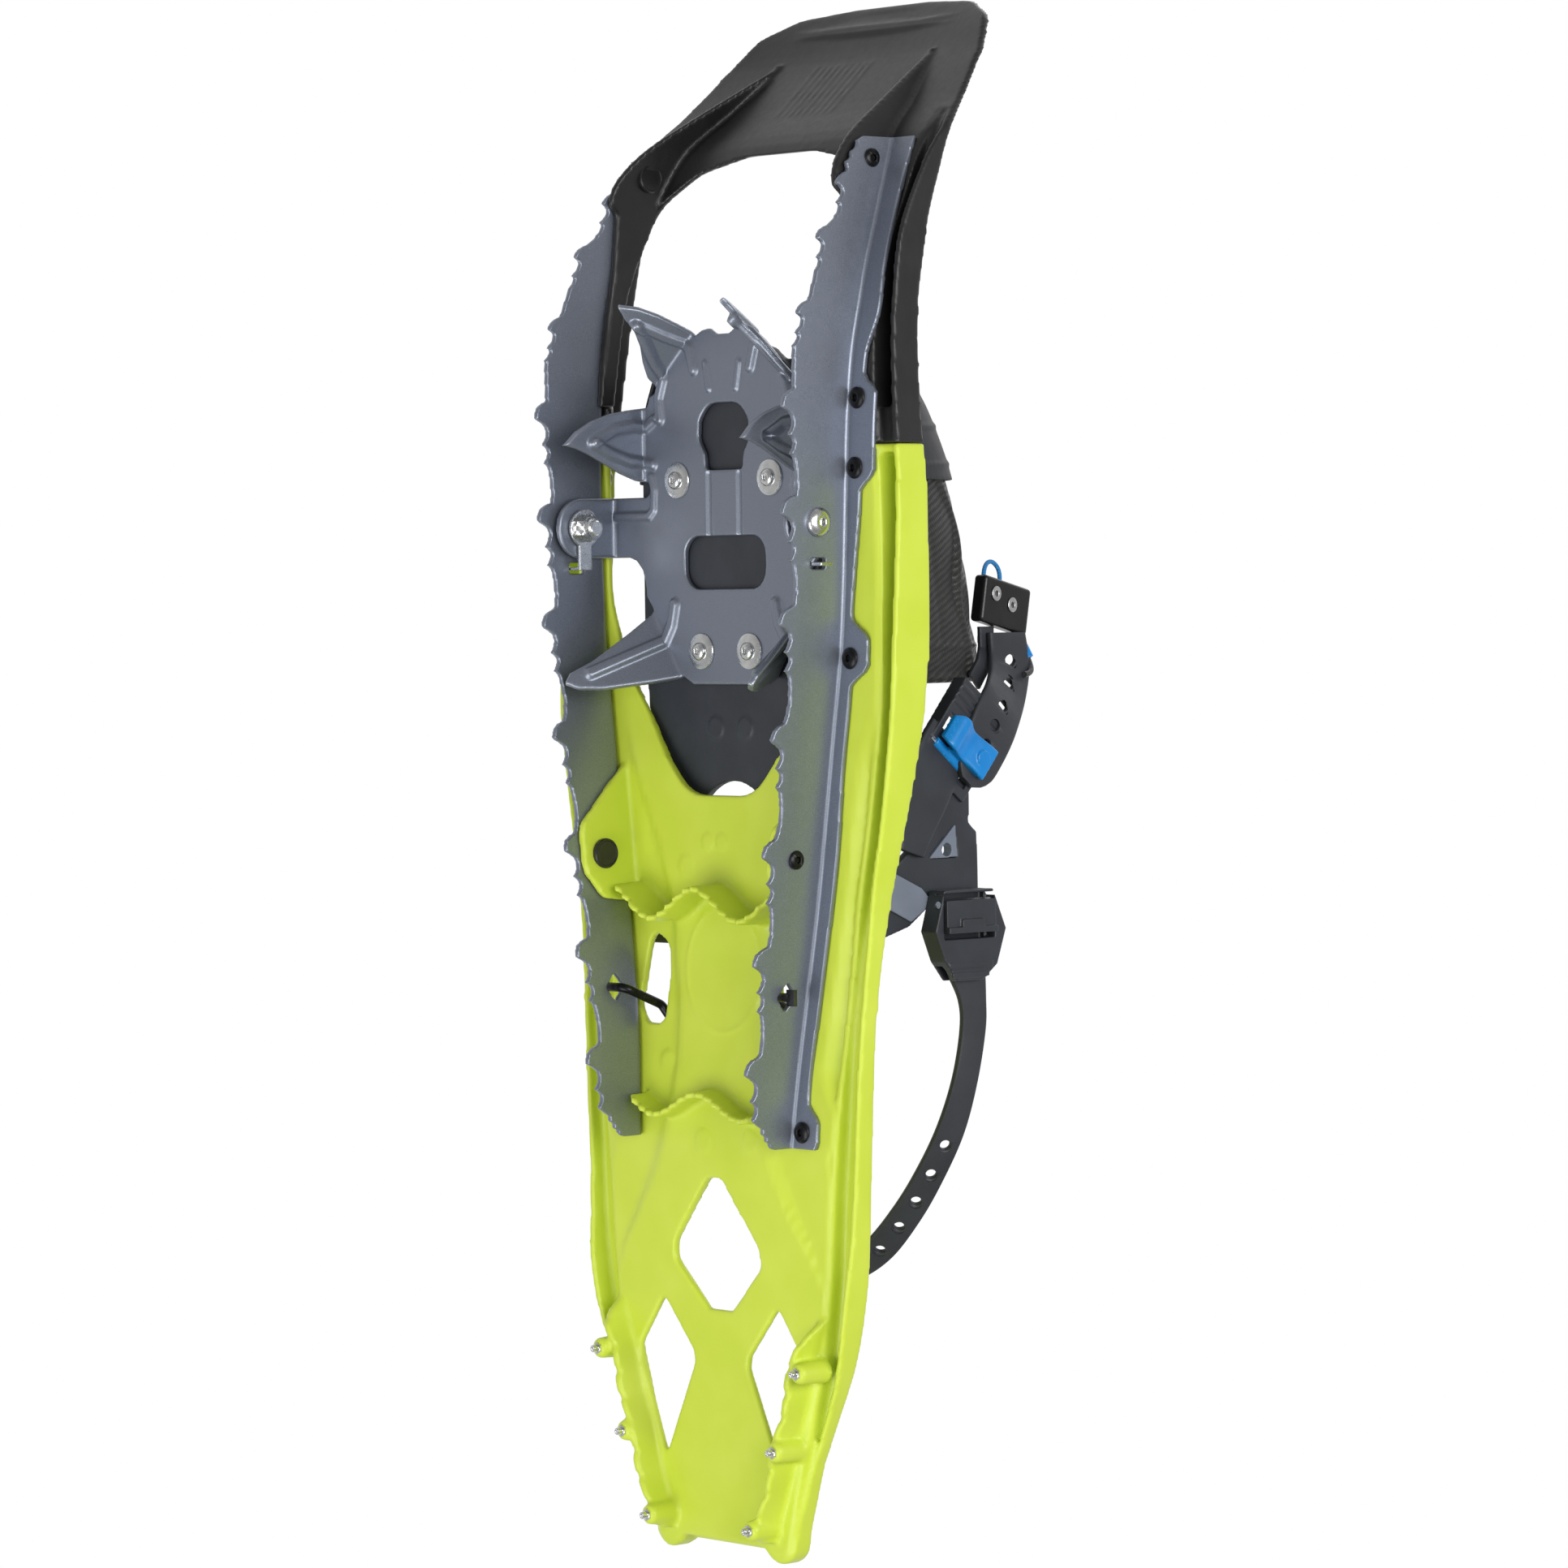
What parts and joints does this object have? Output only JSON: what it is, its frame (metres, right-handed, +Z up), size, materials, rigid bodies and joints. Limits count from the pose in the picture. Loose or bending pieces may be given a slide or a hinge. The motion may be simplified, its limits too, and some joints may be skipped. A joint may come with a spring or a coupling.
{
  "type": "snowshoe",
  "caption": "Left snowshoe with a moulded deck, toothed traction rails, a pivoting binding with a clawed crampon, and a wire heel lift.",
  "frame": {"origin": "centre of the footprint of the shoe standing flat on its rail teeth: the lowest tips are at z = 0", "axes": "+Y along the shoe towards the toe, +Z up, +X towards the wearer's right, which is the inner side of this left shoe"},
  "size_m": [0.2, 0.614, 0.1687],
  "materials": {
    "lime_deck": "satin moulded plastic",
    "black_deck": "satin moulded plastic",
    "rail_metal": "satin metallic powder coat",
    "black_steel": "black oxide",
    "black_cap": "satin black plastic",
    "zinc": "zinc plated",
    "bush_plastic": "acetal",
    "slate_plastic": "satin moulded plastic",
    "slate_strap": "matte elastomer",
    "pad_rubber": "matte",
    "wrap_fabric": "ribbed woven fabric",
    "grey_insert": "soft matte",
    "blue_plastic": "satin",
    "blue_cord": "braided",
    "black_cord": "braided"
  },
  "bodies": {
    "deck": {"toe_deck": "black_deck", "tail_deck": "lime_deck", "left_rail": "rail_metal", "right_rail": "rail_metal", "rail_screws": "black_steel", "rail_cap_nuts": "black_cap", "tail_studs": "zinc", "pivot_bolt_left": "zinc", "pivot_bolt_right": "zinc", "pivot_bush_left": "bush_plastic", "pivot_bush_right": "bush_plastic", "pivot_tab_washer_left": "zinc", "pivot_tab_washer_right": "zinc", "pivot_lock_nut_left": "zinc", "pivot_lock_nut_right": "zinc"},
    "binding": {"crampon": "rail_metal", "crampon_washers": "zinc", "crampon_rivets": "zinc", "footbed": "slate_plastic", "heel_pad": "pad_rubber", "forefoot_wrap": "wrap_fabric", "toe_rim": "black_cap", "lace_block": "black_cap", "block_eyelets": "zinc", "lace": "blue_cord", "pull_cord": "black_cord", "pull_sleeve": "blue_plastic", "instep_strap": "slate_strap", "inner_strap": "slate_strap", "cam_buckle": "slate_plastic", "cam_pin": "zinc", "heel_stirrup": "slate_plastic", "stirrup_rivets": "zinc", "arm_inserts": "grey_insert", "heel_buckle": "slate_plastic", "heel_latch_pin": "zinc", "heel_strap": "slate_strap", "strap_rivet": "zinc"},
    "heel_lift": {"heel_lift": "black_steel"},
    "cam_lever": {"cam_lever": "blue_plastic"},
    "heel_latch": {"heel_latch": "slate_plastic"}
  },
  "joints": [
    {"name": "binding_pivot", "type": "hinge", "parent": "deck", "child": "binding", "pos_m": [0, 0.101, 0.018], "axis": [-1, 0, 0], "range_deg": [0, 65]},
    {"name": "heel_lift_fold", "type": "hinge", "parent": "deck", "child": "heel_lift", "pos_m": [0, -0.0825, 0.017], "axis": [-1, 0, 0], "range_deg": [0, 70]},
    {"name": "cam_lever_open", "type": "hinge", "parent": "binding", "child": "cam_lever", "pos_m": [-0.056, 0.0034, 0.10814], "axis": [0, -0.6428, 0.766], "range_deg": [0, 75]},
    {"name": "heel_latch_open", "type": "hinge", "parent": "binding", "child": "heel_latch", "pos_m": [-0.064, -0.0496, 0.111], "axis": [0, 0, -1], "range_deg": [0, 70]}
  ]
}
